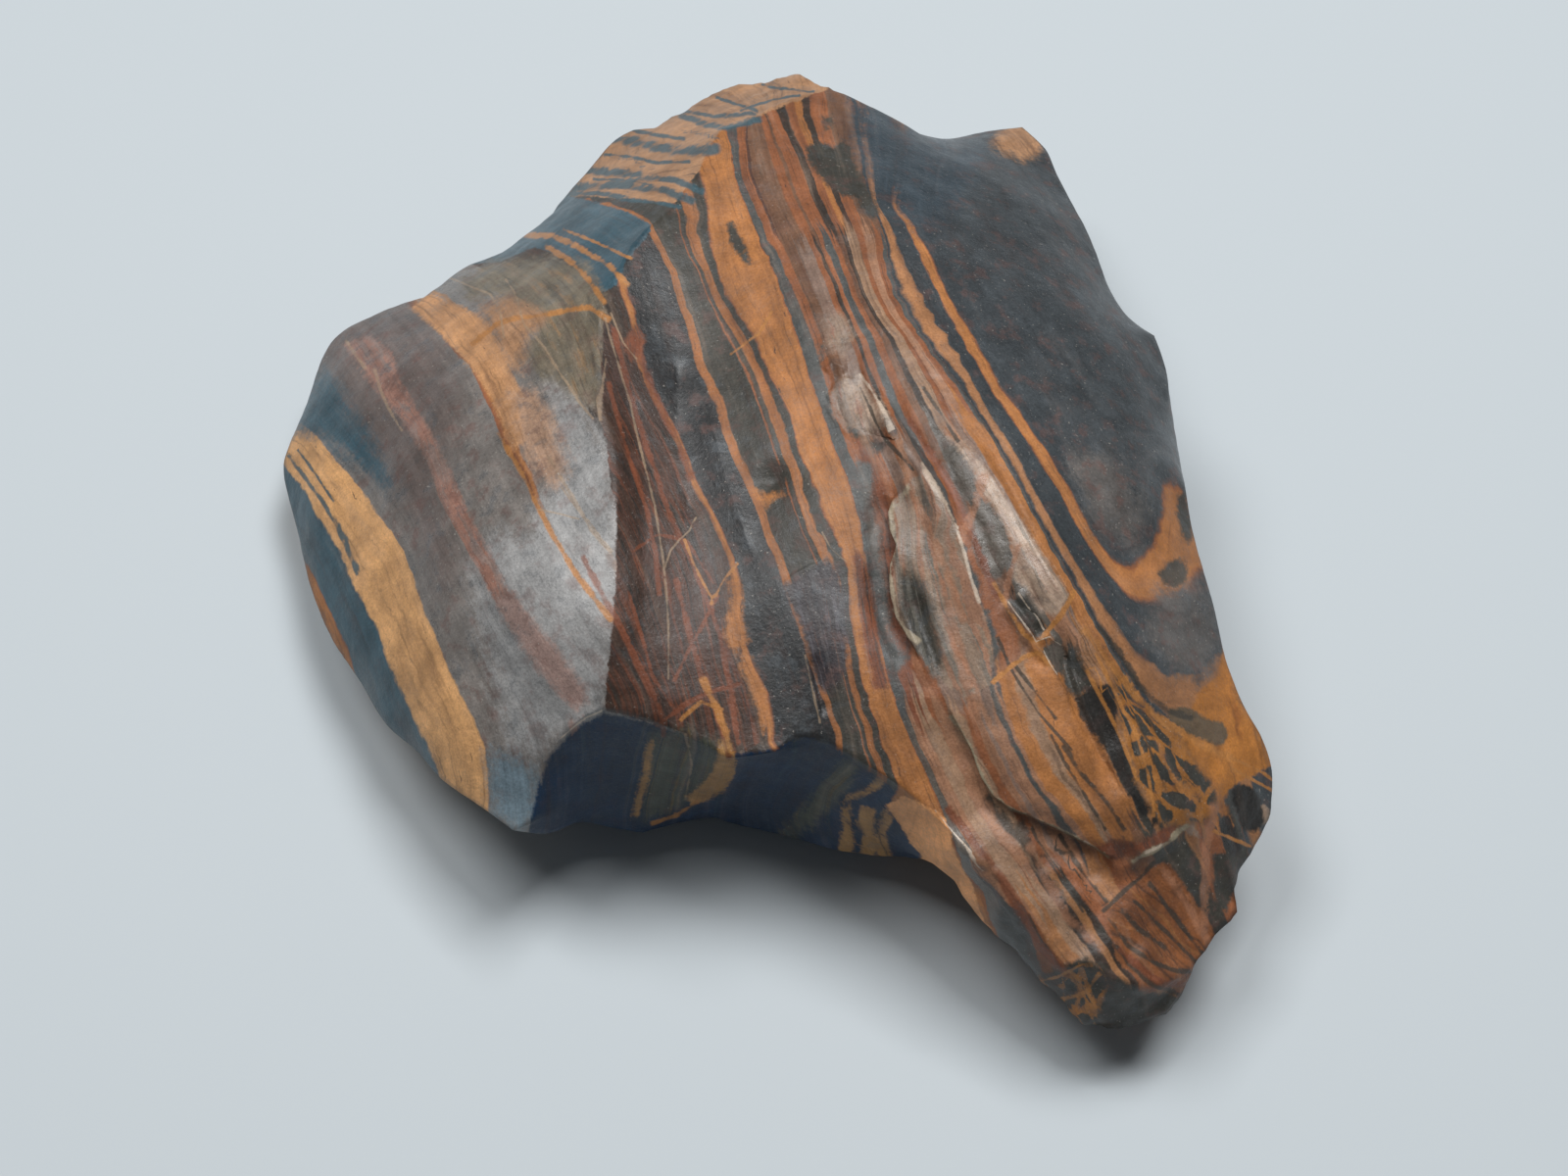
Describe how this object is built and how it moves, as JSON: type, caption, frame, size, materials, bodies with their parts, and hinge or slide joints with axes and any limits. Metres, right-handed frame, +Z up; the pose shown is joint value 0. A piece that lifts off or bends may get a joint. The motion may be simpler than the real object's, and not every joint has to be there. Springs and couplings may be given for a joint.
{
  "type": "rough tiger iron",
  "caption": "Rough lump of tiger iron: angular banded rock in golden brown, red and dark grey, lying on a flat fracture face.",
  "frame": {"origin": "centre of the lump's bounding box at the level of its flat underside", "axes": "+Z up from the flat underside; +Y towards the back, along the banding's run on top; +X to the right"},
  "size_m": [0.078, 0.0836, 0.0287],
  "materials": {
    "tiger_iron": "waxy natural fracture, banded golden brown, brick red and dark grey"
  },
  "bodies": {
    "root": {"stone": "tiger_iron"}
  },
  "joints": []
}
